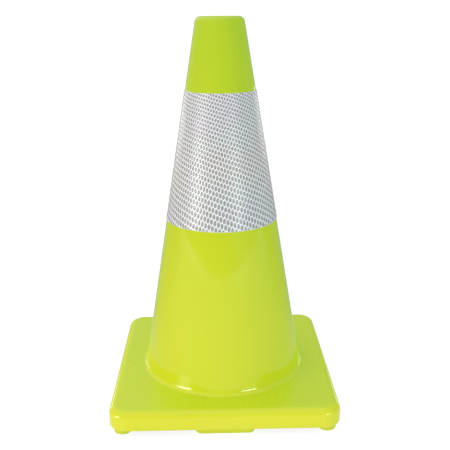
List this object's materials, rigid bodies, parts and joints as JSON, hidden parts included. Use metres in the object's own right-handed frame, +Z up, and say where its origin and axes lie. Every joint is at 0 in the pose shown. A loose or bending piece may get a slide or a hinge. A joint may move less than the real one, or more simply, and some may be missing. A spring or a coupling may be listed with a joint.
{
  "type": "traffic cone",
  "caption": "Hollow tapered road cone with an open rim, a weighted square base on feet, and a reflective collar that slides up and off.",
  "frame": {"origin": "on the cone's axis, on the ground plane under the feet", "axes": "+Z up along the cone's axis, X and Y square to the base's sides, -Y towards the front"},
  "size_m": [0.2674, 0.2674, 0.457],
  "materials": {
    "lime_pvc": "satin",
    "black_ballast": "matte",
    "white_vinyl": "satin",
    "reflective_film": "gloss"
  },
  "bodies": {
    "stand": {"cone_body": "lime_pvc", "base_cover": "lime_pvc", "base_ballast": "black_ballast", "corner_foot_front_left": "lime_pvc", "corner_foot_front_right": "lime_pvc", "corner_foot_back_right": "lime_pvc", "corner_foot_back_left": "lime_pvc", "side_foot_front": "lime_pvc", "side_foot_right": "lime_pvc", "side_foot_back": "lime_pvc", "side_foot_left": "lime_pvc"},
    "collar": {"collar_backing": "white_vinyl", "collar_sheeting": "reflective_film"}
  },
  "joints": [
    {"name": "collar_slide", "type": "slide", "parent": "stand", "child": "collar", "axis": [0, 0, 1], "range_m": [0, 0.26]}
  ]
}
